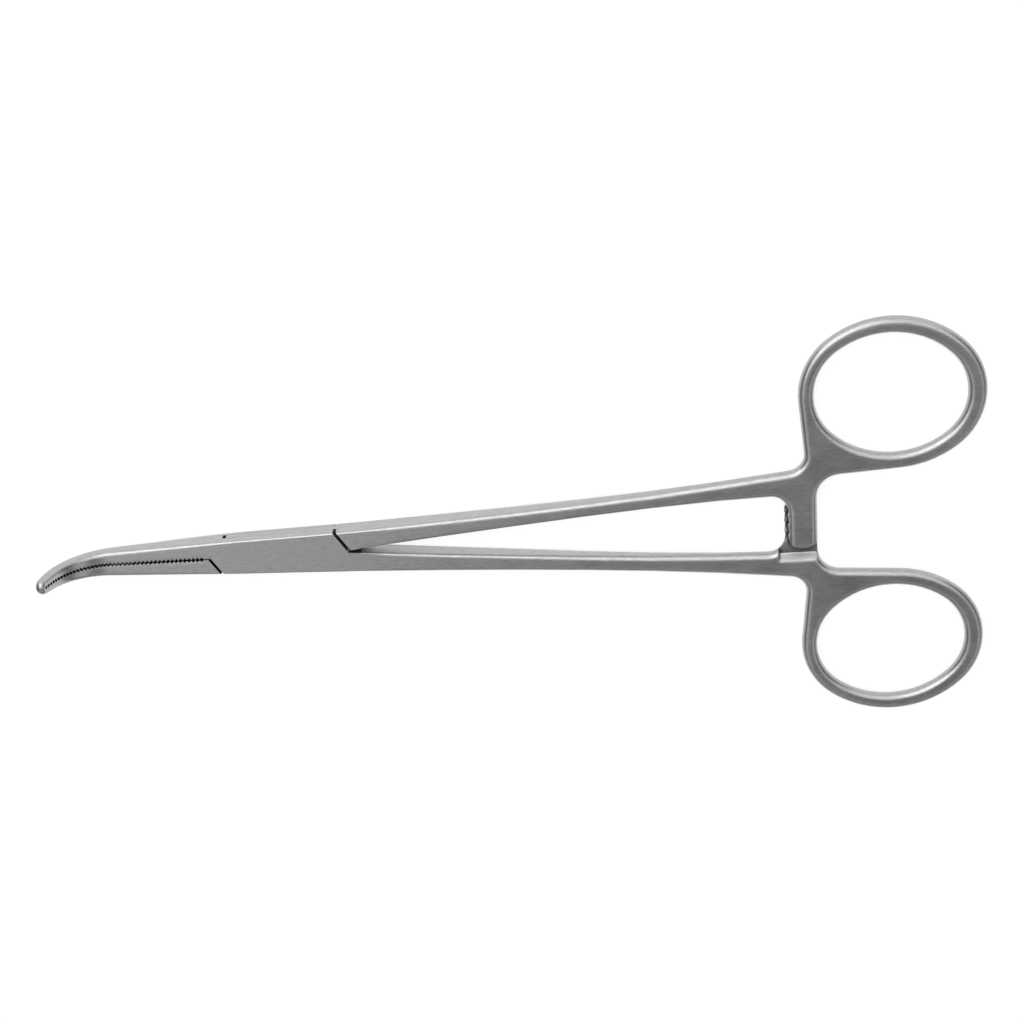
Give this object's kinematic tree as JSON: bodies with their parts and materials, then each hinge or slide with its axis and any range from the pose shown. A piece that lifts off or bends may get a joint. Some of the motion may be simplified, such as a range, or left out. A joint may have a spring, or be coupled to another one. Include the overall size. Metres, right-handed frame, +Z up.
{
  "type": "curved hemostatic forceps",
  "caption": "Slim curved hemostatic forceps with serrated jaws, a box lock, finger rings and a ratchet, for clamping blood vessels.",
  "frame": {"origin": "on the pivot axis, in the plane of the box lock's underside", "axes": "+X from the pivot to the finger rings along the closed instrument's middle, +Y across the rings towards the male handle, +Z up along the pivot axis, the way the jaws curve"},
  "size_m": [0.1834, 0.0823, 0.0147],
  "materials": {
    "satin_steel": "satin-brushed stainless steel with brighter rounded edges",
    "pin_steel": "stainless steel rivet ground and brushed with the box"
  },
  "bodies": {
    "female": {"female_half": "satin_steel", "pivot_pin": "pin_steel"},
    "male": {"male_half": "satin_steel"}
  },
  "joints": [
    {"name": "jaw_hinge", "type": "hinge", "parent": "female", "child": "male", "pos_m": [0, 0, 0.0023], "axis": [0, 0, 1], "range_deg": [0, 60]}
  ]
}
